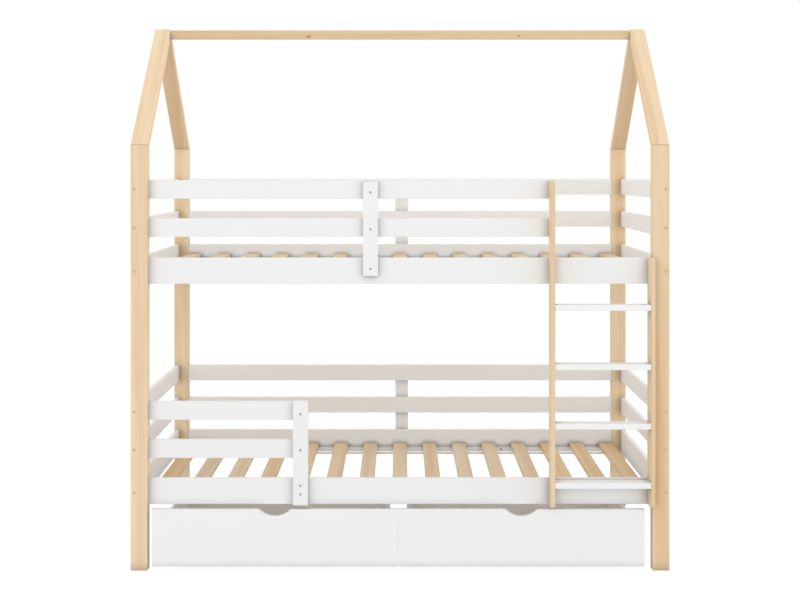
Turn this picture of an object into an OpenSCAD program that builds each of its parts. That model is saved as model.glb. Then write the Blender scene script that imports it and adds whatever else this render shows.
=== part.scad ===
// House-shaped bunk bed: two slatted single beds between four posts with a roof frame above,
// guard boards, a fixed ladder at the front right, and two drawers on castors under the lower bed.
// X runs along the bed, Y from front to rear, Z up. The floor is Z = 0, and the origin lies under
// the middle of the outer size, ladder included. All sizes are in millimetres.

/* [Mattress and boards] */
// Length of the mattress that each bed takes
mattress_l = 2000; // [1900:10:2100]
// Width of the mattress, which lies between the front and the rear posts
mattress_w = 900; // [800:10:1000]
// Free room at each end of the mattress
mattress_play = 6; // [4:1:20]
// Thickness of rails, guards and uprights
board_t = 18; // [17:0.5:22]
// Height of the side rails and end rails
rail_h = 100; // [95:1:120]
// Height of a guard board
guard_h = 71; // [65:1:85]
// Rounding along the edges of boards and slats
board_edge_r = 2; // [1:0.5:3]

/* [Posts and roof] */
// Width of a post and a rafter, along the bed
post_w = 65; // [60:1:80]
// Depth of a post, front to rear
post_d = 45; // [42:1:55]
// Height of a post up to the rafter's seat
post_h = 1628; // [1580:1:1750]
// Rounding along the edges of posts and rafters
post_edge_r = 3; // [1:0.5:5]
// Slope of the rafters
roof_pitch = 45; // [42:1:48]
// Thickness of the ridge beam, a board that stands on edge
ridge_t = 18; // [17:0.5:24]
// Height of the ridge beam
ridge_h = 37; // [36:1:45]
// How far the ridge beam's top lies below the roof's tip
ridge_drop = 5; // [4:0.5:8]
// How far the side rails lie in from the posts' front and rear faces
rail_set = 24; // [22:0.5:26]
// How far the end rails lie in from the posts' outer side faces
end_set = 6; // [0:0.5:8]

/* [Bed heights] */
// Underside of the lower bed's rails above the floor
lower_rail_z = 248; // [235:1:290]
// Underside of the upper bed's rails above the floor
upper_rail_z = 1094; // [1060:1:1140]
// From the underside of a lower rail to that of its first guard
lower_guard_rise = 177; // [165:1:190]
// From the underside of an upper rail to that of its first guard
upper_guard_rise = 180; // [165:1:190]
// From one guard board to the next
guard_pitch = 146.5; // [130:0.5:160]

/* [Slats] */
// Slats on each bed
slat_n = 15; // [11:1:18]
// Width of a slat
slat_w = 60; // [45:1:70]
// Thickness of a slat
slat_t = 18; // [14:1:20]
// Gap between the last slat and the post
slat_end_gap = 1; // [1:1:10]
// Gap between a slat's end and the side rail
slat_play = 2; // [1:0.5:4]
// Depth of the ledgers that carry the slats
ledger_d = 34; // [24:1:40]
// Height of the ledgers
ledger_h = 15; // [13:1:20]
// From the underside of a lower rail to that of its ledger
lower_ledger_rise = 9; // [2:1:14]
// From the underside of an upper rail to that of its ledger
upper_ledger_rise = 24; // [4:1:27]
// Width of the webbing straps under the slats
strap_w = 42; // [30:1:60]
// Thickness of the webbing
strap_t = 1.2; // [0.8:0.1:2]
// From a side rail's inner face to the strap
strap_in = 117; // [60:1:200]

/* [Uprights] */
// Width of the uprights that tie rails and guards together
upright_w = 58; // [50:1:70]
// Place of the upper front upright along the bed
upper_upright_x = -113; // [-200:1:0]
// Place of the lower front upright, where the short guards end
lower_upright_x = -381; // [-500:1:-250]
// Place of both rear uprights
rear_upright_x = 8; // [-100:1:100]
// From the underside of the upper rail to that of its front upright
upper_upright_rise = 31; // [0:1:40]
// How far the upper front upright stops below the top guard's top
upper_upright_drop = 4.5; // [0:0.5:10]
// How far the lower front upright stands above the top guard's top
lower_upright_over = 4.5; // [0:0.5:10]

/* [Ladder] */
// Width of the ladder over its stiles
ladder_w = 394; // [340:1:450]
// Thickness of a stile, along the bed
stile_t = 16; // [14:1:24]
// Depth of a stile, from its front edge to the rails
stile_d = 80; // [72:1:100]
// Rounding at the stiles' ends
stile_end_r = 20; // [4:1:24]
// Rounding along the stiles' edges
stile_edge_r = 3; // [1:0.5:5]
// From the underside of the lower rail to the stiles' feet
stile_foot_rise = 3; // [0:1:30]
// How far the left stile stands above the top guard
left_stile_over = 2; // [0:1:30]
// How far the right stile stands above the upper rail
right_stile_over = 2; // [0:1:30]
// Number of treads
tread_n = 4; // [3:1:4]
// Underside of the lowest tread above the floor
tread_z = 325.5; // [300:0.5:340]
// From one tread to the next
tread_pitch = 224.4; // [210:0.1:235]
// Thickness of a tread
tread_t = 22; // [18:1:28]
// Depth of a tread
tread_d = 54; // [45:1:64]
// How far a tread lies behind the stiles' front edges
tread_set = 1; // [0:0.5:6]

/* [Drawers] */
// Gap between the left post and the left drawer's front
drawer_left_gap = 17.5; // [8:0.5:30]
// Gap between the two drawer fronts
drawer_mid_gap = 3; // [2:0.5:15]
// Gap between the right drawer's front and the right post
drawer_right_gap = 30.5; // [8:0.5:40]
// Gap between a drawer front and the lower rail above it
drawer_top_gap = 13.5; // [6:0.5:20]
// Gap between a drawer front and the floor
drawer_floor_gap = 16; // [8:1:25]
// Depth of a drawer from its front face to its back
drawer_d = 590; // [450:1:700]
// Thickness of a drawer front
drawer_front_t = 18; // [16:1:24]
// Thickness of a drawer's sides and back
drawer_board_t = 15; // [15:1:18]
// From the end of a drawer front to the drawer's side
drawer_side_in = 34; // [15:1:60]
// How far a drawer's sides and back lie below the front's top
drawer_side_drop = 52; // [40:1:80]
// Thickness of a drawer's bottom
drawer_bottom_t = 12; // [9:1:15]
// How far a drawer's sides reach below the bottom panel
drawer_lip = 12; // [8:1:14]
// Depth of the grooves that hold the bottom
groove_d = 5; // [3:0.5:6]
// Width of the pull cut-out along the front's top
pull_w = 122; // [90:1:160]
// Depth of the pull cut-out
pull_drop = 27; // [20:1:35]

/* [Castors] */
// Height of a castor from the floor to the drawer's bottom
castor_h = 42; // [42:1:50]
// Radius of a castor wheel
wheel_r = 17.5; // [15:0.5:18.5]
// Width of a castor wheel
wheel_w = 14; // [10:1:18]
// Radius of a castor's axle pin
axle_r = 3; // [2:0.5:4]
// Thickness of the castor's folded steel
castor_t = 2; // [1.5:0.5:3]
// From a drawer side's inner face to the castor's middle
castor_in_x = 45; // [35:1:120]
// From the drawer's front or back board to the axle
castor_in_y = 75; // [35:1:140]

/* [Fixings] */
// Radius of a connector bolt
bolt_r = 3; // [2.5:0.5:3.5]
// Radius of a connector bolt's head
bolt_head_r = 5.8; // [5:0.1:6.5]
// Height of a connector bolt's head
bolt_head_h = 4; // [3:0.5:4.5]
// Depth of the counterbore that takes the head
bolt_sink = 5; // [4.5:0.5:8]
// Radius of a barrel nut
nut_r = 5; // [4.5:0.5:6]
// Length of a barrel nut
nut_l = 14; // [10:1:14]
// From a board's end to the middle of its barrel nut
nut_in = 35; // [25:1:50]
// From a board's upper edge to its side bolt, and from its lower edge to its dowel
bolt_edge = 18; // [16:1:19]
// Radius of a wooden dowel
dowel_r = 4; // [3:0.5:4]
// Length of a wooden dowel
dowel_l = 40; // [30:1:45]
// Radius of a screw's shank
screw_r = 2.2; // [1.5:0.1:2.6]
// Radius of a screw's head
screw_head_r = 5; // [4:0.1:5.5]
// Height of a screw's head
screw_head_h = 2.5; // [2:0.5:3]

/* [Hidden] */
$fn = 48;

pine = [0.91, 0.82, 0.68];
white = [0.93, 0.93, 0.92];
webbing = [0.84, 0.83, 0.81];
steel = [0.72, 0.72, 0.74];
grey_plastic = [0.36, 0.36, 0.38];

// Clearances of the fixings in their holes
bolt_play = 0.5;
head_play = 0.4;
dowel_play = 0.1;
screw_play = 0.1;
nut_play = 0.1;
thread_play = 0.05;
// Wood left between a barrel nut's hole and the board's outer face
nut_wall = 1.5;
// How far a bolt reaches past its nut
bolt_over = 2;
// What a cut runs past the face that it opens
past = 1;

// Main places, worked out from the mattress
half_l = mattress_l / 2 + mattress_play + board_t + end_set;
post_x = half_l - post_w;
bed_d = mattress_w + 2 * post_d;
end_x = half_l - end_set - board_t / 2;
rail_y = rail_set + board_t / 2;
rail_back_y = rail_set + board_t;
mid_y = bed_d / 2;
ladder_reach = stile_d - rail_set;
origin_y = (bed_d - ladder_reach) / 2;

// A level is one board's underside and height: the rail, then its two guards
function bed_levels(rail_z, rise) = [
    [rail_z, rail_h],
    [rail_z + rise, guard_h],
    [rail_z + rise + guard_pitch, guard_h],
];
function level_mid(level) = level[0] + level[1] / 2;
function level_top(level) = level[0] + level[1];
lower_levels = bed_levels(lower_rail_z, lower_guard_rise);
upper_levels = bed_levels(upper_rail_z, upper_guard_rise);
all_levels = concat(lower_levels, upper_levels);
rail_levels = [lower_levels[0], upper_levels[0]];
// The levels at which a board along the bed ends at a post. In front, the guards stop short of
// the right post.
function side_levels(left, rear) = left || rear ? all_levels : rail_levels;

// Roof
apex_z = post_h + mid_y * tan(roof_pitch);
rafter_t = post_d * sin(roof_pitch);
rafter_run = mid_y / cos(roof_pitch);
ridge_top_z = apex_z - ridge_drop;
ridge_bolt_drop = 12;
ridge_bolt_z = ridge_top_z - ridge_bolt_drop;
ridge_dowel_drop = 28;
ridge_dowel_z = ridge_top_z - ridge_dowel_drop;
roof_dowel_dx = 18;
roof_dowel_y = post_d - 12;
roof_dowel_up = dowel_l / 2;
apex_dowel_drop = 34;
apex_dowel_z = apex_z - apex_dowel_drop;
// From a rafter's outer side face to the two dowels across the tip, clear of the ridge beam's own
apex_dowel_in = [10.5, 28.5];

// Slats
ledger_l = 2 * (post_x - 2);
slat_run = 2 * (post_x - slat_end_gap) - slat_w;
slat_pitch = slat_run / (slat_n - 1);
slat_l = bed_d - 2 * (rail_back_y + slat_play);
lower_slat_z = lower_rail_z + lower_ledger_rise + ledger_h;
upper_slat_z = upper_rail_z + upper_ledger_rise + ledger_h;
ledger_screw_n = 5;
ledger_screw_edge = 43;
ledger_screw_step = (ledger_l - 2 * ledger_screw_edge) / (ledger_screw_n - 1);
// How deep a screw reaches into the piece behind the one that it goes through
screw_bite = 30;
ledger_screw_l = ledger_d + board_t - 6;
slat_screw_l = slat_t + ledger_h - 6;
slat_screw_y = rail_back_y + ledger_d / 2 + 2;

// Screws in the uprights: heights above the underside of each board
upper_upright_screws = [[58], [30], [25]];
lower_upright_screws = [[42, 75], [34], [25]];
rear_upright_screws = [[rail_h / 2], [guard_h / 2], [guard_h / 2]];
upright_screw_l = 2 * board_t - 4;

// Ladder
ladder_x = post_x - ladder_w;
left_stile_top = level_top(upper_levels[2]) + left_stile_over;
right_stile_top = level_top(upper_levels[0]) + right_stile_over;
stile_foot_z = lower_rail_z + stile_foot_rise;
left_stile_screws = [[lower_levels[0], [48, 66]], [upper_levels[0], [48, 66]],
    [upper_levels[1], [guard_h / 2]], [upper_levels[2], [guard_h / 2]]];
right_stile_screws = [[lower_levels[0], [48, 66]], [upper_levels[0], [48, 66]]];
stile_screw_l = board_t + screw_bite;
tread_y = -ladder_reach + tread_set;
tread_screw_edge = 13;
tread_screw_l = stile_t + screw_bite;

// Drawers
drawer_w = (2 * post_x - drawer_left_gap - drawer_mid_gap - drawer_right_gap) / 2;
left_drawer_x = -post_x + drawer_left_gap + drawer_w / 2;
right_drawer_x = post_x - drawer_right_gap - drawer_w / 2;
drawer_front_h = lower_rail_z - drawer_top_gap - drawer_floor_gap;
drawer_top_z = drawer_floor_gap + drawer_front_h;
drawer_bottom_z = castor_h;
drawer_low_z = castor_h - drawer_lip;
drawer_side_h = drawer_top_z - drawer_side_drop - drawer_low_z;
drawer_inner_x = drawer_w / 2 - drawer_side_in - drawer_board_t;
drawer_back_y = drawer_d - drawer_board_t;
groove_play = 0.2;
pull_r = (pull_w * pull_w / 4 + pull_drop * pull_drop) / (2 * pull_drop);
drawer_fixing_z = [drawer_bottom_z + drawer_bottom_t + 24, drawer_low_z + drawer_side_h - 24];
cam_r = 7.5;
cam_h = 12;
cam_in = 24;
cam_bolt_in = 11;
back_screw_l = drawer_board_t + screw_bite;

// Castors: where they stand in a drawer, as [x, y]
castor_x = drawer_inner_x - castor_in_x;
castor_front_y = drawer_front_t + castor_in_y;
castor_rear_y = drawer_back_y - castor_in_y;
castor_places = [for (y = [castor_front_y, castor_rear_y], x = [-castor_x, castor_x]) [x, y]];
cheek_gap = 0.6;
cheek_low = 5;
cheek_top_w = 30;
plate_x = 46;
plate_y = 38;
plate_screw_x = 16;
plate_screw_y = 13;
plate_screw_r = 1.6;
plate_screw_head_r = 3.2;
plate_screw_head_h = 1.4;
plate_screw_l = drawer_bottom_t - 3;
pin_head_r = 4.6;
pin_head_h = 1;
axle_play = 0.05;

// Rectangle from the origin with its corners rounded
module round_rect(w, h, r) {
    translate([r, 0])
        square([w - 2 * r, h]);
    translate([0, r])
        square([w, h - 2 * r]);
    for (x = [r, w - r], y = [r, h - r])
        translate([x, y])
            circle(r);
}

// Bars from the origin along X, Y and Z, with their long edges rounded
module bar_x(l, w, h, r) {
    rotate([90, 0, 90])
        linear_extrude(l)
            round_rect(w, h, r);
}

module bar_y(w, l, h, r) {
    translate([0, l, 0])
        rotate([90, 0, 0])
            linear_extrude(l)
                round_rect(w, h, r);
}

module bar_z(w, d, l, r) {
    linear_extrude(l)
        round_rect(w, d, r);
}

// Puts what is made for the front right corner at another corner
module at_corner(left, rear) {
    mirror([left ? 1 : 0, 0, 0])
        translate([0, rear ? bed_d : 0, 0])
            mirror([0, rear ? 1 : 0, 0])
                children();
}

module at_rear(rear) {
    translate([0, rear ? bed_d : 0, 0])
        mirror([0, rear ? 1 : 0, 0])
            children();
}

// Turns what points up so that it points along the given way
module point_right() {
    rotate([0, 90, 0])
        children();
}

module point_left() {
    rotate([0, -90, 0])
        children();
}

module point_front() {
    rotate([90, 0, 0])
        children();
}

module point_back() {
    rotate([-90, 0, 0])
        children();
}

// Connector bolt with a hexagon socket. The head's seat is Z = 0, and the shank goes down.
module bolt(l) {
    difference() {
        cylinder(h = bolt_head_h, r = bolt_head_r);
        translate([0, 0, bolt_head_h / 2])
            cylinder(h = bolt_head_h, r = bolt_r, $fn = 6);
    }
    translate([0, 0, -l])
        cylinder(h = l, r = bolt_r);
}

module bolt_bore(l) {
    translate([0, 0, -l])
        cylinder(h = l + past, r = bolt_r + bolt_play);
    cylinder(h = bolt_sink + past, r = bolt_head_r + head_play);
}

module nut() {
    difference() {
        translate([0, 0, -nut_l / 2])
            cylinder(h = nut_l, r = nut_r);
        rotate([0, 90, 0])
            cylinder(h = 3 * nut_r, r = bolt_r + thread_play, center = true);
    }
}

// Dowel about the origin, along Z
module dowel() {
    cylinder(h = dowel_l, r = dowel_r, center = true);
}

module dowel_bore() {
    cylinder(h = dowel_l + 2 * dowel_play, r = dowel_r + dowel_play, center = true);
}

// Screw whose head is flush with the face at Z = 0
module screw(l) {
    translate([0, 0, -screw_head_h])
        cylinder(h = screw_head_h, r = screw_head_r);
    translate([0, 0, -l])
        cylinder(h = l - screw_head_h / 2, r = screw_r);
}

module screw_bore(l) {
    translate([0, 0, -screw_head_h])
        cylinder(h = screw_head_h + past, r = screw_head_r + screw_play);
    translate([0, 0, -l - screw_play])
        cylinder(h = l, r = screw_r + screw_play);
}

// Places of the fixings at the front right corner. Side bolts run along X into the boards along
// the bed, end bolts along Y into the boards across it.
module at_side_bolts(levels) {
    for (level = levels)
        translate([half_l - bolt_sink, rail_y, level_top(level) - bolt_edge])
            point_right()
                children();
}

module at_side_nuts(levels) {
    for (level = levels)
        translate([post_x - nut_in, rail_y, level_top(level) - bolt_edge])
            point_front()
                children();
}

module at_side_dowels(levels) {
    for (level = levels)
        translate([post_x, rail_y, level[0] + bolt_edge])
            point_right()
                children();
}

module at_end_bolts() {
    for (level = all_levels)
        translate([end_x, bolt_sink, level_mid(level)])
            point_front()
                children();
}

module at_end_nuts() {
    for (level = all_levels)
        translate([end_x, post_d + nut_in, level_mid(level)])
            rotate([0, 0, 90])
                point_front()
                    children();
}

module at_end_dowels() {
    for (level = all_levels)
        translate([end_x, post_d, level[0] + bolt_edge - dowel_r])
            point_front()
                children();
}

module at_roof_dowels() {
    for (dx = [-roof_dowel_dx, roof_dowel_dx])
        translate([post_x + post_w / 2 + dx, roof_dowel_y, post_h])
            children();
}

module at_apex_dowels() {
    for (dx = apex_dowel_in)
        translate([half_l - dx, mid_y, apex_dowel_z])
            point_front()
                children();
}

// At each end of the ridge beam a bolt and a dowel lie in the joint between the two rafters
module at_ridge_bolt() {
    translate([half_l - bolt_sink, mid_y, ridge_bolt_z])
        point_right()
            children();
}

module at_ridge_nut() {
    translate([post_x - nut_in, mid_y, ridge_bolt_z])
        point_front()
            children();
}

module at_ridge_dowel() {
    translate([post_x, mid_y, ridge_dowel_z])
        point_right()
            children();
}

side_bolt_l = half_l - bolt_sink - post_x + nut_in + nut_r + bolt_over;
end_bolt_l = post_d - bolt_sink + nut_in + nut_r + bolt_over;

// Places of the screws
module at_upright_screws(x, levels, heights) {
    for (i = [0 : len(levels) - 1], h = heights[i])
        translate([x, rail_set - board_t, levels[i][0] + h])
            point_front()
                children();
}

module at_stile_screws(x, places) {
    for (place = places, h = place[1])
        translate([x, rail_back_y, place[0][0] + h])
            point_back()
                children();
}

module at_tread_screws(x) {
    for (i = [0 : tread_n - 1], y = [tread_y + tread_screw_edge, tread_y + tread_d - tread_screw_edge])
        translate([x, y, tread_z + i * tread_pitch + tread_t / 2])
            children();
}

module at_ledger_screws(z) {
    for (i = [0 : ledger_screw_n - 1])
        translate([(i - (ledger_screw_n - 1) / 2) * ledger_screw_step, rail_back_y + ledger_d, z])
            point_back()
                children();
}

module at_slat_screws(z) {
    for (x = [-slat_run / 2, slat_run / 2])
        translate([x, slat_screw_y, z + slat_t])
            children();
}

// Holes in what the fixings go through
module corner_bores(levels) {
    at_side_bolts(levels)
        bolt_bore(side_bolt_l + past);
    at_side_dowels(levels)
        dowel_bore();
    at_end_bolts()
        bolt_bore(end_bolt_l + past);
    at_end_dowels()
        dowel_bore();
}

// The holes for the nuts open on the face that the front view hides: inside on the front boards,
// outside on the rear ones
module side_nut_bores(levels, rear) {
    for (level = levels)
        translate([post_x - nut_in, rear ? rail_back_y - nut_wall : rail_set + nut_wall,
            level_top(level) - bolt_edge])
            mirror([0, rear ? 1 : 0, 0])
                point_back()
                    cylinder(h = board_t, r = nut_r + nut_play);
}

module end_nut_bores() {
    for (level = all_levels)
        translate([end_x + board_t / 2 - nut_wall, post_d + nut_in, level_mid(level)])
            point_left()
                cylinder(h = board_t, r = nut_r + nut_play);
}

// Posts and roof
module post(left, rear) {
    color(pine)
        at_corner(left, rear)
            difference() {
                translate([post_x, 0, 0])
                    intersection() {
                        bar_x(post_w, post_d, post_h, post_edge_r);
                        bar_y(post_w, post_d, post_h, post_edge_r);
                        bar_z(post_w, post_d, post_h, post_edge_r);
                    }
                corner_bores(side_levels(left, rear));
                at_roof_dowels()
                    dowel_bore();
            }
}

module rafter(left, rear) {
    color(pine)
        at_corner(left, rear)
            difference() {
                intersection() {
                    translate([post_x, 0, post_h])
                        rotate([roof_pitch, 0, 0])
                            translate([0, -post_d, -rafter_t])
                                bar_y(post_w, rafter_run + 2 * post_d, rafter_t, post_edge_r);
                    translate([post_x - past, -past, post_h])
                        cube([post_w + 2 * past, mid_y + past, apex_z]);
                }
                at_roof_dowels()
                    dowel_bore();
                at_apex_dowels()
                    dowel_bore();
                at_ridge_bolt()
                    bolt_bore(side_bolt_l + past);
                at_ridge_dowel()
                    dowel_bore();
            }
}

module ridge_beam() {
    color(pine)
        difference() {
            translate([-post_x, mid_y - ridge_t / 2, ridge_top_z - ridge_h])
                bar_x(2 * post_x, ridge_t, ridge_h, board_edge_r);
            for (left = [true, false])
                at_corner(left, false) {
                    at_ridge_bolt()
                        bolt_bore(side_bolt_l + past);
                    at_ridge_dowel()
                        dowel_bore();
                    translate([post_x - nut_in, mid_y - ridge_t / 2 + nut_wall, ridge_bolt_z])
                        point_back()
                            cylinder(h = ridge_t, r = nut_r + nut_play);
                }
        }
}

// Boards along the bed, at one level, from x0 to x1
module side_board(level, x0, x1, rear) {
    at_rear(rear)
        translate([x0, rail_set, level[0]])
            bar_x(x1 - x0, board_t, level[1], board_edge_r);
}

// Holes at both ends of the boards on one side of the bed
module side_end_bores(rear, levels) {
    for (left = [true, false])
        at_corner(left, rear) {
            corner_bores(levels);
            side_nut_bores(levels, rear);
        }
}

module ledger_bores(rear, z) {
    at_rear(rear)
        at_ledger_screws(z)
            screw_bore(ledger_screw_l);
}

module front_rail(level, upright_x, heights, ledger_z) {
    color(white)
        difference() {
            side_board(level, -post_x, post_x, false);
            side_end_bores(false, [level]);
            at_upright_screws(upright_x, [level], [heights])
                screw_bore(upright_screw_l);
            at_stile_screws(ladder_x + stile_t / 2, left_stile_screws)
                screw_bore(stile_screw_l);
            at_stile_screws(post_x - stile_t / 2, right_stile_screws)
                screw_bore(stile_screw_l);
            ledger_bores(false, ledger_z);
        }
}

module rear_rail(level, ledger_z) {
    color(white)
        difference() {
            side_board(level, -post_x, post_x, true);
            side_end_bores(true, [level]);
            at_rear(true)
                at_upright_screws(rear_upright_x, [level], [rear_upright_screws[0]])
                    screw_bore(upright_screw_l);
            ledger_bores(true, ledger_z);
        }
}

module upper_front_guards() {
    color(white)
        difference() {
            for (i = [1, 2])
                side_board(upper_levels[i], -post_x, ladder_x + stile_t, false);
            at_corner(true, false) {
                corner_bores(upper_levels);
                side_nut_bores(upper_levels, false);
            }
            at_upright_screws(upper_upright_x, upper_levels, upper_upright_screws)
                screw_bore(upright_screw_l);
            at_stile_screws(ladder_x + stile_t / 2, left_stile_screws)
                screw_bore(stile_screw_l);
        }
}

module lower_front_guards() {
    color(white)
        difference() {
            for (i = [1, 2])
                side_board(lower_levels[i], -post_x, lower_upright_x + upright_w / 2, false);
            at_corner(true, false) {
                corner_bores(lower_levels);
                side_nut_bores(lower_levels, false);
            }
            at_upright_screws(lower_upright_x, lower_levels, lower_upright_screws)
                screw_bore(upright_screw_l);
        }
}

module rear_guards(levels) {
    color(white)
        difference() {
            for (i = [1, 2])
                side_board(levels[i], -post_x, post_x, true);
            side_end_bores(true, levels);
            at_rear(true)
                at_upright_screws(rear_upright_x, levels, rear_upright_screws)
                    screw_bore(upright_screw_l);
        }
}

// Boards across the bed, between the posts of one end
module end_boards(levels, left) {
    color(white)
        difference() {
            mirror([left ? 1 : 0, 0, 0])
                for (level = levels)
                    translate([end_x - board_t / 2, post_d, level[0]])
                        bar_y(board_t, bed_d - 2 * post_d, level[1], board_edge_r);
            for (rear = [true, false])
                at_corner(left, rear) {
                    corner_bores([]);
                    end_nut_bores();
                }
        }
}

module upright(x, low, top, levels, heights, rear) {
    color(white)
        at_rear(rear)
            difference() {
                translate([x - upright_w / 2, rail_set - board_t, low])
                    bar_z(upright_w, board_t, top - low, board_edge_r);
                at_upright_screws(x, levels, heights)
                    screw_bore(upright_screw_l);
            }
}

// Slats, the ledgers that carry them and the straps that join them
module ledger_pair(z) {
    for (rear = [true, false])
        at_rear(rear)
            difference() {
                translate([-ledger_l / 2, rail_back_y, z])
                    bar_x(ledger_l, ledger_d, ledger_h, board_edge_r / 2);
                at_ledger_screws(z + ledger_h / 2)
                    screw_bore(ledger_screw_l);
                at_slat_screws(z + ledger_h)
                    screw_bore(slat_screw_l);
            }
}

module slat_ledgers() {
    color(white) {
        ledger_pair(lower_slat_z - ledger_h);
        ledger_pair(upper_slat_z - ledger_h);
    }
}

module slats(z) {
    color(pine)
        difference() {
            for (i = [0 : slat_n - 1])
                translate([i * slat_pitch - slat_run / 2 - slat_w / 2, rail_back_y + slat_play, z])
                    bar_y(slat_w, slat_l, slat_t, board_edge_r);
            for (rear = [true, false])
                at_rear(rear)
                    at_slat_screws(z)
                        screw_bore(slat_screw_l);
        }
}

module slat_straps() {
    color(webbing)
        for (z = [lower_slat_z, upper_slat_z], rear = [true, false])
            at_rear(rear)
                translate([-(slat_run + slat_w) / 2, rail_back_y + strap_in, z - strap_t])
                    cube([slat_run + slat_w, strap_w, strap_t]);
}

// Ladder
module stile(x, top, places) {
    color(pine)
        difference() {
            intersection() {
                translate([x, -ladder_reach, stile_foot_z])
                    bar_z(stile_t, stile_d, top - stile_foot_z, stile_edge_r);
                translate([x, -ladder_reach, stile_foot_z])
                    bar_x(stile_t, stile_d, top - stile_foot_z, stile_end_r);
            }
            at_stile_screws(x + stile_t / 2, places)
                screw_bore(stile_screw_l);
            at_tread_screws(ladder_x)
                point_left()
                    screw_bore(tread_screw_l);
            at_tread_screws(post_x)
                point_right()
                    screw_bore(tread_screw_l);
        }
}

module ladder_treads() {
    color(white)
        difference() {
            for (i = [0 : tread_n - 1])
                translate([ladder_x + stile_t, tread_y, tread_z + i * tread_pitch])
                    bar_x(ladder_w - 2 * stile_t, tread_d, tread_t, board_edge_r);
            at_tread_screws(ladder_x)
                point_left()
                    screw_bore(tread_screw_l);
            at_tread_screws(post_x)
                point_right()
                    screw_bore(tread_screw_l);
        }
}

// Fixings of the frame
module frame_bolts() {
    color(steel)
        for (left = [true, false], rear = [true, false])
            at_corner(left, rear) {
                at_side_bolts(side_levels(left, rear))
                    bolt(side_bolt_l);
                at_end_bolts()
                    bolt(end_bolt_l);
                if (!rear)
                    at_ridge_bolt()
                        bolt(side_bolt_l);
            }
}

module barrel_nuts() {
    color(steel)
        for (left = [true, false], rear = [true, false])
            at_corner(left, rear) {
                at_side_nuts(side_levels(left, rear))
                    nut();
                at_end_nuts()
                    nut();
                if (!rear)
                    at_ridge_nut()
                        nut();
            }
}

module wooden_dowels() {
    color(pine)
        for (left = [true, false], rear = [true, false])
            at_corner(left, rear) {
                at_side_dowels(side_levels(left, rear))
                    dowel();
                at_end_dowels()
                    dowel();
                at_roof_dowels()
                    dowel();
                if (!rear) {
                    at_apex_dowels()
                        dowel();
                    at_ridge_dowel()
                        dowel();
                }
            }
}

module upright_screws() {
    color(steel) {
        at_upright_screws(upper_upright_x, upper_levels, upper_upright_screws)
            screw(upright_screw_l);
        at_upright_screws(lower_upright_x, lower_levels, lower_upright_screws)
            screw(upright_screw_l);
        at_rear(true) {
            at_upright_screws(rear_upright_x, upper_levels, rear_upright_screws)
                screw(upright_screw_l);
            at_upright_screws(rear_upright_x, lower_levels, rear_upright_screws)
                screw(upright_screw_l);
        }
    }
}

// Screws of the ladder, the ledgers and the end slats
module wood_screws() {
    color(steel) {
        at_stile_screws(ladder_x + stile_t / 2, left_stile_screws)
            screw(stile_screw_l);
        at_stile_screws(post_x - stile_t / 2, right_stile_screws)
            screw(stile_screw_l);
        at_tread_screws(ladder_x)
            point_left()
                screw(tread_screw_l);
        at_tread_screws(post_x)
            point_right()
                screw(tread_screw_l);
        for (rear = [true, false], z = [lower_slat_z, upper_slat_z])
            at_rear(rear) {
                at_ledger_screws(z - ledger_h / 2)
                    screw(ledger_screw_l);
                at_slat_screws(z)
                    screw(slat_screw_l);
            }
    }
}

// One drawer, with X = 0 at its middle
module at_cams() {
    for (side = [0, 1], z = drawer_fixing_z)
        mirror([side, 0, 0])
            translate([drawer_inner_x, drawer_front_t + cam_in, z])
                children();
}

module at_cam_bolts() {
    for (side = [0, 1], z = drawer_fixing_z)
        mirror([side, 0, 0])
            translate([drawer_inner_x + drawer_board_t / 2, drawer_front_t, z])
                children();
}

module at_back_screws() {
    for (side = [0, 1], z = drawer_fixing_z)
        mirror([side, 0, 0])
            translate([drawer_inner_x + drawer_board_t, drawer_d - drawer_board_t / 2, z])
                point_right()
                    children();
}

module at_plate_screws() {
    for (place = castor_places, k = [-1, 1])
        translate([place[0] + k * plate_screw_x, place[1] + k * plate_screw_y, castor_h - castor_t])
            children();
}

// The bolt between a drawer side's cam and the front
module cam_bolt_rod(r) {
    translate([0, -cam_bolt_in, 0])
        point_back()
            cylinder(h = cam_bolt_in + cam_in - cam_r, r = r);
}

module bottom_groove() {
    translate([-drawer_inner_x - groove_d - groove_play, drawer_front_t - groove_d - groove_play,
        drawer_bottom_z - groove_play])
        cube([2 * (drawer_inner_x + groove_d + groove_play),
            drawer_back_y - drawer_front_t + 2 * (groove_d + groove_play),
            drawer_bottom_t + 2 * groove_play]);
}

module drawer_front(x) {
    color(white)
        translate([x, 0, 0])
            difference() {
                translate([-drawer_w / 2, 0, drawer_floor_gap])
                    bar_x(drawer_w, drawer_front_t, drawer_front_h, board_edge_r);
                translate([0, -past, drawer_top_z + pull_r - pull_drop])
                    point_back()
                        cylinder(h = drawer_front_t + 2 * past, r = pull_r, $fn = 96);
                bottom_groove();
                at_cam_bolts()
                    cam_bolt_rod(bolt_r + bolt_play);
            }
}

module drawer_sides(x) {
    color(white)
        translate([x, 0, 0])
            difference() {
                for (side = [0, 1])
                    mirror([side, 0, 0])
                        translate([drawer_inner_x, drawer_front_t, drawer_low_z])
                            bar_y(drawer_board_t, drawer_d - drawer_front_t, drawer_side_h, board_edge_r / 2);
                bottom_groove();
                at_cams()
                    translate([-past, 0, 0])
                        point_right()
                            cylinder(h = cam_h + nut_play + past, r = cam_r + nut_play);
                at_cam_bolts()
                    cam_bolt_rod(bolt_r + bolt_play);
                at_back_screws()
                    screw_bore(back_screw_l);
            }
}

module drawer_back(x) {
    color(white)
        translate([x, 0, 0])
            difference() {
                translate([-drawer_inner_x, drawer_back_y, drawer_low_z])
                    bar_x(2 * drawer_inner_x, drawer_board_t, drawer_side_h, board_edge_r / 2);
                bottom_groove();
                at_back_screws()
                    screw_bore(back_screw_l);
            }
}

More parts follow.
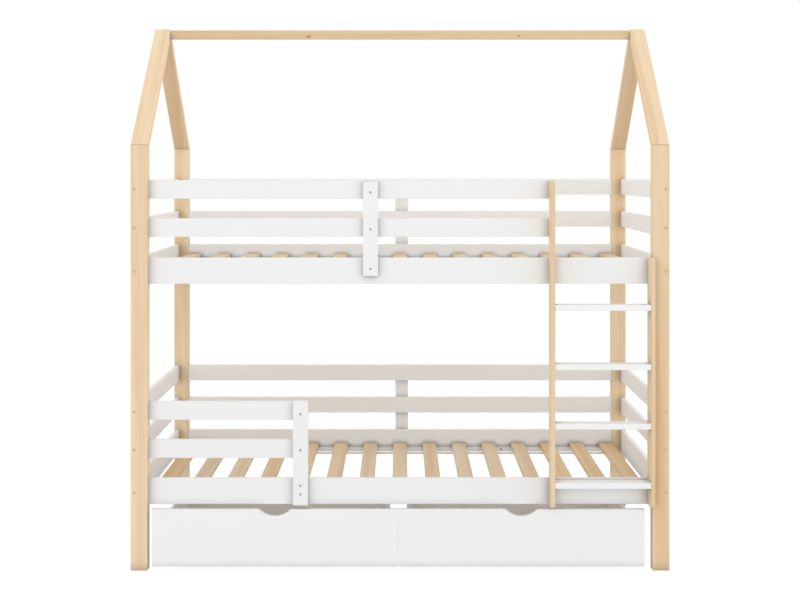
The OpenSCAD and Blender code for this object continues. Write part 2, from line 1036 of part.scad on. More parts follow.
module drawer_bottom(x) {
    color(white)
        translate([x, 0, 0])
            difference() {
                translate([-drawer_inner_x - groove_d, drawer_front_t - groove_d, drawer_bottom_z])
                    cube([2 * (drawer_inner_x + groove_d), drawer_back_y - drawer_front_t + 2 * groove_d,
                        drawer_bottom_t]);
                at_plate_screws()
                    cylinder(h = castor_t + plate_screw_l + screw_play, r = plate_screw_r + screw_play);
            }
}

// Cams, cam bolts, back screws and castor screws
module drawer_fixings(x) {
    color(steel)
        translate([x, 0, 0]) {
            at_cams()
                point_right()
                    cylinder(h = cam_h, r = cam_r);
            at_cam_bolts()
                cam_bolt_rod(bolt_r);
            at_back_screws()
                screw(back_screw_l);
            at_plate_screws() {
                cylinder(h = castor_t + plate_screw_l, r = plate_screw_r);
                translate([0, 0, -plate_screw_head_h])
                    cylinder(h = plate_screw_head_h, r = plate_screw_head_r);
            }
        }
}

// Castors: a folded fork with its plate, and the axle pin riveted in it
module cheek_outline() {
    polygon([[-cheek_top_w / 2, castor_h - castor_t / 2], [cheek_top_w / 2, castor_h - castor_t / 2],
        [axle_r + cheek_low, wheel_r], [-axle_r - cheek_low, wheel_r]]);
    translate([0, wheel_r])
        circle(axle_r + cheek_low);
}

module fork() {
    difference() {
        union() {
            translate([-plate_x / 2, -plate_y / 2, castor_h - castor_t])
                cube([plate_x, plate_y, castor_t]);
            for (side = [0, 1])
                mirror([side, 0, 0])
                    translate([wheel_w / 2 + cheek_gap, 0, 0])
                        rotate([90, 0, 90])
                            linear_extrude(castor_t)
                                cheek_outline();
        }
        translate([0, 0, wheel_r])
            rotate([0, 90, 0])
                cylinder(h = plate_x, r = axle_r + thread_play, center = true);
        for (k = [-1, 1])
            translate([k * plate_screw_x, k * plate_screw_y, castor_h - castor_t - past])
                cylinder(h = castor_t + 2 * past, r = plate_screw_r + screw_play);
    }
}

module axle_pin() {
    pin_l = wheel_w + 2 * (cheek_gap + castor_t);
    translate([0, 0, wheel_r])
        rotate([0, 90, 0]) {
            cylinder(h = pin_l, r = axle_r, center = true);
            for (side = [0, 1])
                mirror([0, 0, side])
                    translate([0, 0, pin_l / 2])
                        cylinder(h = pin_head_h, r = pin_head_r);
        }
}

module drawer_castors(x) {
    color(steel)
        for (place = castor_places)
            translate([x + place[0], place[1], 0]) {
                fork();
                axle_pin();
            }
}

module wheel(x, place) {
    color(grey_plastic)
        translate([x + place[0], place[1], wheel_r])
            rotate([0, 90, 0])
                rotate_extrude($fn = 96)
                    polygon([[axle_r + axle_play, -wheel_w / 2], [wheel_r - 1.5, -wheel_w / 2],
                        [wheel_r, -wheel_w / 2 + 1.5], [wheel_r, wheel_w / 2 - 1.5],
                        [wheel_r - 1.5, wheel_w / 2], [axle_r + axle_play, wheel_w / 2]]);
}

// Moves the bed so that the origin lies under the middle of its outer size
module placed() {
    translate([0, -origin_y, 0])
        children();
}

placed() post(true, false);  // post_front_left
placed() post(false, false);  // post_front_right
placed() post(true, true);  // post_rear_left
placed() post(false, true);  // post_rear_right
placed() rafter(true, false);  // rafter_front_left
placed() rafter(false, false);  // rafter_front_right
placed() rafter(true, true);  // rafter_rear_left
placed() rafter(false, true);  // rafter_rear_right
placed() ridge_beam();
placed()  // upper_front_rail
        front_rail(upper_levels[0], upper_upright_x, upper_upright_screws[0], upper_slat_z - ledger_h / 2);
placed()  // upper_rear_rail
        rear_rail(upper_levels[0], upper_slat_z - ledger_h / 2);
placed()  // lower_front_rail
        front_rail(lower_levels[0], lower_upright_x, lower_upright_screws[0], lower_slat_z - ledger_h / 2);
placed()  // lower_rear_rail
        rear_rail(lower_levels[0], lower_slat_z - ledger_h / 2);
placed() end_boards([upper_levels[0]], true);  // upper_end_rail_left
placed() end_boards([upper_levels[0]], false);  // upper_end_rail_right
placed() end_boards([lower_levels[0]], true);  // lower_end_rail_left
placed() end_boards([lower_levels[0]], false);  // lower_end_rail_right
placed() upper_front_guards();
placed() rear_guards(upper_levels);  // upper_rear_guards
placed()  // upper_end_guards
        for (left = [true, false])
            end_boards([upper_levels[1], upper_levels[2]], left);
placed() lower_front_guards();
placed() rear_guards(lower_levels);  // lower_rear_guards
placed()  // lower_end_guards
        for (left = [true, false])
            end_boards([lower_levels[1], lower_levels[2]], left);
placed()  // upper_front_upright
        upright(upper_upright_x, upper_rail_z + upper_upright_rise,
            level_top(upper_levels[2]) - upper_upright_drop, upper_levels, upper_upright_screws, false);
placed()  // upper_rear_upright
        upright(rear_upright_x, upper_rail_z, level_top(upper_levels[2]), upper_levels,
            rear_upright_screws, true);
placed()  // lower_front_upright
        upright(lower_upright_x, lower_rail_z, level_top(lower_levels[2]) + lower_upright_over,
            lower_levels, lower_upright_screws, false);
placed()  // lower_rear_upright
        upright(rear_upright_x, lower_rail_z, level_top(lower_levels[2]), lower_levels,
            rear_upright_screws, true);
placed() slat_ledgers();
placed() slats(upper_slat_z);  // upper_slats
placed() slats(lower_slat_z);  // lower_slats
placed() slat_straps();
placed() stile(ladder_x, left_stile_top, left_stile_screws);  // ladder_stile_left
placed()  // ladder_stile_right
        stile(post_x - stile_t, right_stile_top, right_stile_screws);
placed() ladder_treads();
placed() wooden_dowels();
placed() frame_bolts();
placed() barrel_nuts();
placed() upright_screws();
placed() wood_screws();
placed() drawer_front(left_drawer_x);  // left_drawer_front
placed() drawer_sides(left_drawer_x);  // left_drawer_sides
placed() drawer_back(left_drawer_x);  // left_drawer_back
placed() drawer_bottom(left_drawer_x);  // left_drawer_bottom
placed() drawer_castors(left_drawer_x);  // left_drawer_castors
placed() drawer_fixings(left_drawer_x);  // left_drawer_fixings
placed() wheel(left_drawer_x, castor_places[0]);  // left_drawer_front_left_wheel
placed() wheel(left_drawer_x, castor_places[1]);  // left_drawer_front_right_wheel
placed() wheel(left_drawer_x, castor_places[2]);  // left_drawer_rear_left_wheel
placed() wheel(left_drawer_x, castor_places[3]);  // left_drawer_rear_right_wheel
placed() drawer_front(right_drawer_x);  // right_drawer_front
placed() drawer_sides(right_drawer_x);  // right_drawer_sides
placed() drawer_back(right_drawer_x);  // right_drawer_back
placed() drawer_bottom(right_drawer_x);  // right_drawer_bottom
placed() drawer_castors(right_drawer_x);  // right_drawer_castors
placed() drawer_fixings(right_drawer_x);  // right_drawer_fixings
placed()  // right_drawer_front_left_wheel
        wheel(right_drawer_x, castor_places[0]);
placed()  // right_drawer_front_right_wheel
        wheel(right_drawer_x, castor_places[1]);
placed() wheel(right_drawer_x, castor_places[2]);  // right_drawer_rear_left_wheel
placed()  // right_drawer_rear_right_wheel
        wheel(right_drawer_x, castor_places[3]);
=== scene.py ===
"""House-shaped bunk bed in varnished pine and white lacquer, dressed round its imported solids.

All lengths are in metres and all places are in the solids' own frame: X runs along the beds,
Y from the front to the rear, and Z up from the floor.
"""

import logging
import math
import random
from collections.abc import Iterable, Mapping
from dataclasses import dataclass
from enum import Enum

import bmesh
import bpy
from bmesh.types import BMEdge, BMesh, BMVert
from bpy.types import Material, Mesh, Node, NodeSocket, NodeTree
from mathutils import Euler, Matrix, Vector


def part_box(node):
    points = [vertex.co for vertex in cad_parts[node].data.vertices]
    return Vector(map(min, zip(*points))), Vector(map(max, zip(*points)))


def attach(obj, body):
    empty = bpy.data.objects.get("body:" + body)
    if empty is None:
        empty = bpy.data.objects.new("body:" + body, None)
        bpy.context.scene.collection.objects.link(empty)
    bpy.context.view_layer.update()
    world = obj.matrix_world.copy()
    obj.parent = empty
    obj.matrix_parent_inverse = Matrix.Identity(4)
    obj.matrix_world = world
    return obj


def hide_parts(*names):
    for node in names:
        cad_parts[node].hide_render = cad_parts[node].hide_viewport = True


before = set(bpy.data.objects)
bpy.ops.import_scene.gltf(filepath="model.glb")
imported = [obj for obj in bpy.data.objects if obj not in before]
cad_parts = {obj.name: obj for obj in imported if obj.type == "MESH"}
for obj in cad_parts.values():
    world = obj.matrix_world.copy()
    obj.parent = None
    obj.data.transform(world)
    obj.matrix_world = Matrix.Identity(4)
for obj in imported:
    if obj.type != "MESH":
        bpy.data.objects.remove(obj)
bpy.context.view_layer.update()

log = logging.getLogger("house_bunk_bed")

SHARP_ANGLE = math.radians(40)
SLAT_WIDTH = 0.060

# Attributes that a mesh carries for its finish
GRAIN = "grain"
TINT = "tint"
WEAVE = "weave"

# Settings that several nodes share
MULTIPLY = {"operation": "MULTIPLY"}
MULTIPLY_ADD = {"operation": "MULTIPLY_ADD"}
MULTIPLY_COLOURS = {"data_type": "RGBA", "blend_type": "MULTIPLY"}
SMOOTHSTEP = {"interpolation_type": "SMOOTHSTEP"}
# Contrast that makes the most of a noise, whose values seldom leave this range
NOISE_RANGE = {"From Min": 0.3, "From Max": 0.7}
# Scale of a wave texture that repeats once per metre
ONE_WAVE = math.tau / 20


def srgb(colour: str) -> tuple[float, float, float, float]:
    """Turns an sRGB hex colour into a linear one.

    Args:
        colour: Six hexadecimal digits.

    Returns:
        Red, green, blue and an alpha of 1.
    """
    parts = [int(colour[i:i + 2], 16) / 255 for i in (0, 2, 4)]
    linear = [p / 12.92 if p <= 0.04045 else ((p + 0.055) / 1.055) ** 2.4 for p in parts]
    return (*linear, 1.0)


def add(
    tree: NodeTree,
    kind: str,
    settings: Mapping[str, object] | None = None,
    links: Mapping[int | str, object] | None = None,
    stops: Iterable[tuple[float, str]] = (),
) -> Node:
    """Adds one node.

    Args:
        tree: Tree that takes the node.
        kind: Type of the node.
        settings: The node's own values.
        links: What each input takes, a value or another node's output.
        stops: Places and hex colours of a colour ramp.

    Returns:
        The new node.
    """
    node = tree.nodes.new(kind)
    for name, value in (settings or {}).items():
        setattr(node, name, value)
    for name, value in (links or {}).items():
        if isinstance(value, NodeSocket):
            tree.links.new(value, node.inputs[name])
        else:
            node.inputs[name].default_value = value
    for i, (place, colour) in enumerate(stops):
        ramp = node.color_ramp.elements
        # A new ramp already has two stops
        stop = ramp[i] if i < 2 else ramp.new(place)
        stop.position = place
        stop.color = srgb(colour)
    return node


def new_material(name: str) -> tuple[Material, NodeTree]:
    """Makes an empty node material.

    Args:
        name: Name of the material.

    Returns:
        The material and its tree, with no nodes in it.
    """
    material = bpy.data.materials.new(name)
    material.use_nodes = True
    material.node_tree.nodes.clear()
    return material, material.node_tree


class Grain(Enum):
    """Way that the fibres of a board run, as the turn that lays them along X."""

    ALONG_X = (0.0, 0.0, 0.0)
    ALONG_Y = (0.0, 0.0, -90.0)
    ALONG_Z = (0.0, 90.0, 0.0)
    FRONT_SLOPE = (-45.0, 0.0, -90.0)
    REAR_SLOPE = (45.0, 0.0, -90.0)
    OWN = None


def grain_coordinates(tree: NodeTree, grain: Grain, shift: Vector) -> NodeSocket:
    """Gives coordinates whose X runs along the fibres.

    Args:
        tree: Tree that takes the nodes.
        grain: Way that the fibres run. OWN reads the piece's own attribute.
        shift: Place of the board in its log, so that no two boards look alike.

    Returns:
        The coordinates, in metres.
    """
    if grain is Grain.OWN:
        return add(tree, "ShaderNodeAttribute", {"attribute_name": GRAIN}).outputs["Vector"]
    place = add(tree, "ShaderNodeTexCoord").outputs["Object"]
    turn = Euler([math.radians(a) for a in grain.value])
    turned = add(tree, "ShaderNodeMapping", {}, {
        "Vector": place, "Rotation": turn, "Location": shift})
    return turned.outputs["Vector"]


def paint_corner_shade(tree: NodeTree, colour: NodeSocket, reach: float = 0.04) -> NodeSocket:
    """Paints shade into a finish's colour where boards meet, darker the more enclosed a spot is.

    Args:
        tree: Tree that takes the nodes.
        colour: Colour of the open surface.
        reach: How far from a joint the painted shade reaches, or 0 for none.

    Returns:
        The colour with painted shade, down to two fifths of its light deep in a corner.
    """
    if reach == 0.0:
        return colour
    # Painted shade: the colour darkens with how little open room a spot sees within reach
    openness = add(tree, "ShaderNodeAmbientOcclusion", {"samples": 8}, {"Distance": reach})
    shade = add(tree, "ShaderNodeMapRange", {}, {
        "Value": openness.outputs["AO"], "To Min": 0.4, "To Max": 1.0})
    return add(tree, "ShaderNodeMix", MULTIPLY_COLOURS, {
        0: 1.0, 6: colour, 7: shade.outputs["Result"]}).outputs[2]


@dataclass(frozen=True)
class VarnishedPine:
    """Scots pine, planed and clear varnished: pale yellow wood in soft broad streaks."""

    name: str
    grain: Grain
    seed: int
    # Hue of this timber, which on the rear rafters is also painted shade, and of the boards in it that
    # carry a share of tint
    tone_and_shade: str = "FFFFFF"
    tint: str = "FFFFFF"
    # Spacing of the rings, distance to the pith, and how far it leans, in degrees
    ring: float = 0.011
    pith: float = 0.085
    lean: float = 0.9
    # Share of the branches that leave no knot
    knots: float = 1.0
    # Place along X, height and size of each small knot that shows on the front
    pin_knots: tuple[tuple[float, float, float], ...] = ()

    def material(self) -> Material:
        """Builds the finish.

        Returns:
            The material, named for the wood.
        """
        draw = random.Random(self.seed)
        shift = Vector((draw.uniform(0, 9), 0, 0))
        material, tree = new_material(f"pine_{self.name}")
        place = grain_coordinates(tree, self.grain, shift)
        # The pith lies outside the board and leans a little, so that the rings run out in long arches
        side = draw.uniform(0.0, 2 * math.pi)
        log_place = add(tree, "ShaderNodeMapping", {}, {
            "Vector": place,
            "Rotation": (0, math.radians(self.lean), math.radians(-0.6 * self.lean)),
            "Location": (0, self.pith * math.cos(side), self.pith * math.sin(side)),
        }).outputs["Vector"]
        knot_share, near, swelling = self.add_knots(tree, place)
        rings = self.add_rings(tree, log_place, swelling)
        wood = self.add_streaks(tree, log_place, rings)
        # Fibres, drawn 1.5 mm wide and 70 mm long, coarser than real ones so that they show
        threads = add(tree, "ShaderNodeVectorMath", MULTIPLY, {0: log_place, 1: (14.0, 640.0, 640.0)})
        fibre = add(tree, "ShaderNodeTexNoise", {}, {
            "Vector": threads.outputs[0], "Scale": 1.0, "Detail": 4.0, "Roughness": 0.6})
        fibre_shade = add(tree, "ShaderNodeMapRange", {}, {
            "Value": fibre.outputs["Fac"], **NOISE_RANGE, "To Min": 0.982, "To Max": 1.015})
        lined = add(tree, "ShaderNodeMix", MULTIPLY_COLOURS, {
            0: 1.0, 6: wood, 7: fibre_shade.outputs["Result"]})
        # A knot: brown heart, dark rim of bark, and a honey-coloured halo
        knot = add(tree, "ShaderNodeValToRGB", {}, {"Fac": near}, [
            (0.0, "B98653"), (0.45, "C2925F"), (0.8, "A67445"), (1.0, "DDB985")])
        knotted = add(tree, "ShaderNodeMix", {"data_type": "RGBA"}, {
            0: knot_share, 6: lined.outputs[2], 7: knot.outputs["Color"]})
        gloss = add(tree, "ShaderNodeMapRange", {}, {
            "Value": fibre.outputs["Fac"], **NOISE_RANGE, "To Min": 0.62, "To Max": 0.52})
        height = add(tree, "ShaderNodeMath", MULTIPLY_ADD, {0: rings, 1: -0.2, 2: fibre.outputs["Fac"]})
        bump = add(tree, "ShaderNodeBump", {}, {
            "Height": height.outputs[0], "Strength": 0.1, "Distance": 0.0004})
        # The base colour carries painted shade where boards meet
        surface = add(tree, "ShaderNodeBsdfPrincipled", {}, {
            "Base Color": paint_corner_shade(tree, knotted.outputs[2]), "Roughness": gloss.outputs["Result"],
            "Normal": bump.outputs["Normal"], "IOR": 1.5, "Specular IOR Level": 0.28})
        add(tree, "ShaderNodeOutputMaterial", {}, {"Surface": surface.outputs["BSDF"]})
        return material

    def add_rings(self, tree: NodeTree, log_place: NodeSocket, swelling: NodeSocket) -> NodeSocket:
        """Adds the year rings round the pith.

        Args:
            tree: Tree that takes the nodes.
            log_place: Coordinates in the log.
            swelling: How far a knot pushes the rings aside.

        Returns:
            0 where a year starts, rising to 1 where it ends.
        """
        # Slow waves in the rings, long along the fibres and short across them
        stretched = add(tree, "ShaderNodeVectorMath", MULTIPLY, {0: log_place, 1: (1.1, 9.0, 9.0)})
        wander = add(tree, "ShaderNodeTexNoise", {}, {
            "Vector": stretched.outputs[0], "Scale": 1.0, "Detail": 2.0, "Roughness": 0.4})
        bent = add(tree, "ShaderNodeVectorMath", MULTIPLY_ADD, {
            0: wander.outputs["Color"], 1: (0.0, 0.035, 0.035), 2: log_place})
        pushed = add(tree, "ShaderNodeCombineXYZ", {}, {"Y": swelling, "Z": swelling})
        ringed = add(tree, "ShaderNodeVectorMath", {"operation": "ADD"}, {
            0: bent.outputs[0], 1: pushed.outputs[0]})
        # Rings 9 to 11 mm apart, wider than in most pine so that they show
        return add(tree, "ShaderNodeTexWave", {
            "wave_type": "RINGS", "rings_direction": "X", "wave_profile": "SAW"}, {
            "Vector": ringed.outputs[0], "Scale": ONE_WAVE / self.ring}).outputs["Color"]

    def add_streaks(self, tree: NodeTree, log_place: NodeSocket, rings: NodeSocket) -> NodeSocket:
        """Adds the hues of the wood.

        Args:
            tree: Tree that takes the nodes.
            log_place: Coordinates in the log.
            rings: How far through its year the wood grew.

        Returns:
            The colour of the wood, without fibres and knots.
        """
        # Pale early wood darkens slowly into a line of late wood
        wood = add(tree, "ShaderNodeValToRGB", {}, {"Fac": rings}, [
            (0.0, "EFD9B9"), (0.16, "F0DABB"), (0.7, "EFD9B9"), (0.93, "EFD6B4"), (1.0, "EED4B1")])
        colour = wood.outputs["Color"]
        # Darker bands about 40 mm wide and 2 m long, then patches 200 mm long where the wood blushes
        for along, detail, start, end, most, hue in (
            (0.5, 2.0, 0.42, 0.66, 0.6, "F2E5D3"), (5.0, 1.0, 0.45, 0.7, 0.4, "FBF5EE"),
        ):
            streaks = add(tree, "ShaderNodeVectorMath", MULTIPLY, {0: log_place, 1: (along, 24.0, 24.0)})
            streak = add(tree, "ShaderNodeTexNoise", {}, {
                "Vector": streaks.outputs[0], "Scale": 1.0, "Detail": detail})
            share = add(tree, "ShaderNodeMapRange", SMOOTHSTEP, {
                "Value": streak.outputs["Fac"], "From Min": start, "From Max": end, "To Max": most})
            colour = add(tree, "ShaderNodeMix", MULTIPLY_COLOURS, {
                0: share.outputs["Result"], 6: colour, 7: srgb(hue)}).outputs[2]
        toned = add(tree, "ShaderNodeMix", MULTIPLY_COLOURS, {0: 1.0, 6: colour, 7: srgb(self.tone_and_shade)})
        if self.grain is not Grain.OWN:
            return toned.outputs[2]
        # Each board takes its own share of the tint
        share = add(tree, "ShaderNodeAttribute", {"attribute_name": TINT})
        return add(tree, "ShaderNodeMix", MULTIPLY_COLOURS, {
            0: share.outputs["Fac"], 6: toned.outputs[2], 7: srgb(self.tint)}).outputs[2]

    def add_knots(self, tree: NodeTree, place: NodeSocket) -> tuple[NodeSocket, NodeSocket, NodeSocket]:
        """Adds the knots, either pin knots in known places or branches scattered through the board.

        Args:
            tree: Tree that takes the nodes.
            place: Coordinates along the fibres.

        Returns:
            How much of the colour is knot, how far it is from the knot's heart in knot sizes, and how
            far the rings swell round it.
        """
        if self.pin_knots:
            own = add(tree, "ShaderNodeTexCoord").outputs["Object"]
            near = None
            for x, z, size in self.pin_knots:
                offset = add(tree, "ShaderNodeVectorMath", {"operation": "SUBTRACT"}, {
                    0: own, 1: (x, 0.0, z)})
                flat = add(tree, "ShaderNodeVectorMath", MULTIPLY, {
                    0: offset.outputs[0], 1: (0.62 / size, 0.0, 1 / size)})
                reach = add(tree, "ShaderNodeVectorMath", {"operation": "LENGTH"}, {
                    0: flat.outputs[0]}).outputs["Value"]
                near = reach if near is None else add(tree, "ShaderNodeMath", {
                    "operation": "MINIMUM"}, {0: near, 1: reach}).outputs[0]
            chosen: object = 1.0
        else:
            # Branches run through the board, one at most in 130 mm, and most of it is clear
            branch = add(tree, "ShaderNodeTexVoronoi", {"voronoi_dimensions": "2D"}, {
                "Vector": place, "Scale": 1 / 0.13, "Randomness": 0.9})
            pick = add(tree, "ShaderNodeSeparateColor", {}, {"Color": branch.outputs["Color"]})
            chosen = add(tree, "ShaderNodeMath", {"operation": "GREATER_THAN"}, {
                0: pick.outputs["Red"], 1: self.knots}).outputs[0]
            reach = add(tree, "ShaderNodeMath", MULTIPLY_ADD, {
                0: pick.outputs["Green"], 1: 0.05, 2: 0.045})
            near = add(tree, "ShaderNodeMath", {"operation": "DIVIDE"}, {
                0: branch.outputs["Distance"], 1: reach.outputs[0]}).outputs[0]
        swell = add(tree, "ShaderNodeMapRange", SMOOTHSTEP, {
            "Value": near, "From Min": 0.4, "From Max": 3.2, "To Min": 0.006, "To Max": 0.0})
        swelling = add(tree, "ShaderNodeMath", MULTIPLY, {0: swell.outputs["Result"], 1: chosen})
        edge = add(tree, "ShaderNodeMapRange", SMOOTHSTEP, {
            "Value": near, "From Min": 0.85, "From Max": 1.5, "To Min": 0.9, "To Max": 0.0})
        share = add(tree, "ShaderNodeMath", MULTIPLY, {0: edge.outputs["Result"], 1: chosen})
        return share.outputs[0], near, swelling.outputs[0]


@dataclass(frozen=True)
class WhiteLacquer:
    """Pine sprayed with satin white lacquer: even and opaque, with a breath of grain under it."""

    name: str
    grain: Grain
    seed: int
    colour: str = "F2F2F2"
    fibre_colour: str = "F0F0F0"
    # How far the shade painted into its colour reaches from a joint
    reach: float = 0.04

    def material(self) -> Material:
        """Builds the finish.

        Returns:
            The material, named for the lacquer.
        """
        draw = random.Random(self.seed)
        material, tree = new_material(f"white_lacquer_{self.name}")
        place = grain_coordinates(tree, self.grain, Vector((draw.uniform(0, 9), 0, 0)))
        # Grain that still tells through the paint, 3 mm wide and 120 mm long
        threads = add(tree, "ShaderNodeVectorMath", MULTIPLY, {0: place, 1: (8.0, 330.0, 330.0)})
        fibre = add(tree, "ShaderNodeTexNoise", {}, {
            "Vector": threads.outputs[0], "Scale": 1.0, "Detail": 3.0, "Roughness": 0.55})
        # Spray texture, with dimples 2.5 mm apart
        spray = add(tree, "ShaderNodeTexNoise", {}, {
            "Vector": place, "Scale": 400.0, "Detail": 1.0})
        shade = add(tree, "ShaderNodeValToRGB", {}, {"Fac": fibre.outputs["Fac"]}, [
            (0.2, self.fibre_colour), (0.8, self.colour)])
        gloss = add(tree, "ShaderNodeMapRange", {}, {
            "Value": spray.outputs["Fac"], **NOISE_RANGE, "To Min": 0.46, "To Max": 0.56})
        height = add(tree, "ShaderNodeMath", MULTIPLY_ADD, {
            0: spray.outputs["Fac"], 1: 0.5, 2: fibre.outputs["Fac"]})
        bump = add(tree, "ShaderNodeBump", {}, {
            "Height": height.outputs[0], "Strength": 0.04, "Distance": 0.0002})
        # The base colour carries painted shade where boards meet
        surface = add(tree, "ShaderNodeBsdfPrincipled", {}, {
            "Base Color": paint_corner_shade(tree, shade.outputs["Color"], self.reach),
            "Roughness": gloss.outputs["Result"], "Normal": bump.outputs["Normal"],
            "IOR": 1.48, "Specular IOR Level": 0.28})
        add(tree, "ShaderNodeOutputMaterial", {}, {"Surface": surface.outputs["BSDF"]})
        return material


@dataclass(frozen=True)
class RawBeech:
    """Beech dowel rod, turned and left raw: pinkish tan with short dark flecks."""

    def material(self) -> Material:
        """Builds the finish.

        Returns:
            The material, named for the wood.
        """
        material, tree = new_material("raw_beech")
        place = add(tree, "ShaderNodeTexCoord").outputs["Object"]
        # Flecks about 1 mm across
        fleck = add(tree, "ShaderNodeTexNoise", {}, {
            "Vector": place, "Scale": 900.0, "Detail": 2.0, "Roughness": 0.6})
        shade = add(tree, "ShaderNodeValToRGB", {}, {"Fac": fleck.outputs["Fac"]}, [
            (0.3, "C89F78"), (0.7, "DDBB95")])
        surface = add(tree, "ShaderNodeBsdfPrincipled", {}, {
            "Base Color": shade.outputs["Color"], "Roughness": 0.65, "IOR": 1.5})
        add(tree, "ShaderNodeOutputMaterial", {}, {"Surface": surface.outputs["BSDF"]})
        return material


@dataclass(frozen=True)
class ZincPlatedSteel:
    """Zinc plate on steel: cool grey, or straw yellow where passivated, with a cloudy sheen."""

    name: str = "zinc_plated_steel"
    dull: str = "AEB0B4"
    bright: str = "C9CACB"

    def material(self) -> Material:
        """Builds the finish.

        Returns:
            The material, named for the plating.
        """
        material, tree = new_material(self.name)
        place = add(tree, "ShaderNodeTexCoord").outputs["Object"]
        # Clouds in the plating, about 4 mm across
        cloud = add(tree, "ShaderNodeTexNoise", {}, {
            "Vector": place, "Scale": 260.0, "Detail": 4.0, "Roughness": 0.6})
        shade = add(tree, "ShaderNodeValToRGB", {}, {"Fac": cloud.outputs["Fac"]}, [
            (0.3, self.dull), (0.7, self.bright)])
        gloss = add(tree, "ShaderNodeMapRange", {}, {
            "Value": cloud.outputs["Fac"], **NOISE_RANGE, "To Min": 0.27, "To Max": 0.42})
        surface = add(tree, "ShaderNodeBsdfPrincipled", {}, {
            "Base Color": shade.outputs["Color"], "Roughness": gloss.outputs["Result"],
            "Metallic": 1.0})
        add(tree, "ShaderNodeOutputMaterial", {}, {"Surface": surface.outputs["BSDF"]})
        return material


@dataclass(frozen=True)
class WovenWebbing:
    """Polypropylene webbing in plain weave: matt white bands of fine crossed threads."""

    # Threads drawn 2.2 mm apart, coarser than the real 1 mm so that they show
    thread: float = 0.0022

    def material(self) -> Material:
        """Builds the finish.

        Returns:
            The material, named for the weave.
        """
        material, tree = new_material("woven_webbing")
        place = add(tree, "ShaderNodeAttribute", {"attribute_name": WEAVE}).outputs["Vector"]
        # One wave for the warp and one for the weft, where the crossings stand proud
        bands = [add(tree, "ShaderNodeTexWave", {
            "wave_type": "BANDS", "bands_direction": way, "wave_profile": "SIN"}, {
            "Vector": place, "Scale": ONE_WAVE / self.thread, "Distortion": 0.3,
            "Detail Scale": 2.0}) for way in ("X", "Y")]
        cross = add(tree, "ShaderNodeMath", MULTIPLY, {
            0: bands[0].outputs["Fac"], 1: bands[1].outputs["Fac"]})
        # The hollows between crossings are drawn darker: painted shade in the weave
        shade = add(tree, "ShaderNodeValToRGB", {}, {"Fac": cross.outputs[0]}, [
            (0.0, "DCDAD7"), (0.6, "F4F3F1")])
        bump = add(tree, "ShaderNodeBump", {}, {
            "Height": cross.outputs[0], "Strength": 0.4, "Distance": 0.0004})
        surface = add(tree, "ShaderNodeBsdfPrincipled", {}, {
            "Base Color": shade.outputs["Color"], "Roughness": 0.8,
            "Normal": bump.outputs["Normal"], "Sheen Weight": 0.25, "Sheen Roughness": 0.4})
        add(tree, "ShaderNodeOutputMaterial", {}, {"Surface": surface.outputs["BSDF"]})
        return material


@dataclass(frozen=True)
class MouldedNylon:
    """Injection-moulded nylon: grey, matt, with a fine spark-eroded grit."""

    def material(self) -> Material:
        """Builds the finish.

        Returns:
            The material, named for the plastic.
        """
        material, tree = new_material("moulded_nylon")
        place = add(tree, "ShaderNodeTexCoord").outputs["Object"]
        # Grit about 0.8 mm across
        grit = add(tree, "ShaderNodeTexNoise", {}, {
            "Vector": place, "Scale": 1250.0, "Detail": 2.0, "Roughness": 0.6})
        shade = add(tree, "ShaderNodeValToRGB", {}, {"Fac": grit.outputs["Fac"]}, [
            (0.3, "57575B"), (0.7, "66666A")])
        bump = add(tree, "ShaderNodeBump", {}, {
            "Height": grit.outputs["Fac"], "Strength": 0.3, "Distance": 0.0002})
        surface = add(tree, "ShaderNodeBsdfPrincipled", {}, {
            "Base Color": shade.outputs["Color"], "Roughness": 0.55,
            "Normal": bump.outputs["Normal"], "IOR": 1.53})
        add(tree, "ShaderNodeOutputMaterial", {}, {"Surface": surface.outputs["BSDF"]})
        return material


def dress(node: str, finish: Material) -> None:
    """Gives a solid that is shown as it is its finish.

    Args:
        node: Name of the solid.
        finish: Material that its slots take.
    """
    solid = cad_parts[node]
    for slot in solid.material_slots:
        slot.material = finish
    log.info("dressed %s in %s", node, finish.name)


def stand(
    name: str,
    shape: BMesh,
    finish: Material,
    body: str,
    replaced: Iterable[str],
) -> None:
    """Makes a finished shape a piece of the bed.

    Args:
        name: Name of the piece.
        shape: Its mesh, in place, which is used up.
        finish: Its material.
        body: The body that it moves with.
        replaced: The solids that it stands for.
    """
    mesh = bpy.data.meshes.new(name)
    shape.to_mesh(mesh)
    shape.free()
    mesh.shade_smooth()
    mesh.set_sharp_from_angle(angle=SHARP_ANGLE)
    mesh.materials.append(finish)
    piece = bpy.data.objects.new(name, mesh)
    bpy.context.scene.collection.objects.link(piece)
    even = piece.modifiers.new("even_shading", "WEIGHTED_NORMAL")
    even.keep_sharp = True
    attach(piece, body)
    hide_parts(*replaced)
    log.info("built %s, %d faces", name, len(mesh.polygons))


def add_copy(shape: BMesh, mesh: Mesh, place: Matrix) -> None:
    """Adds a copy of a finished shape.

    Args:
        shape: Mesh that takes the copy.
        mesh: The finished shape.
        place: Where the copy goes, as a 4 by 4 matrix.
    """
    count = len(shape.verts)
    shape.from_mesh(mesh)
    shape.verts.ensure_lookup_table()
    bmesh.ops.transform(shape, matrix=place, verts=shape.verts[count:])


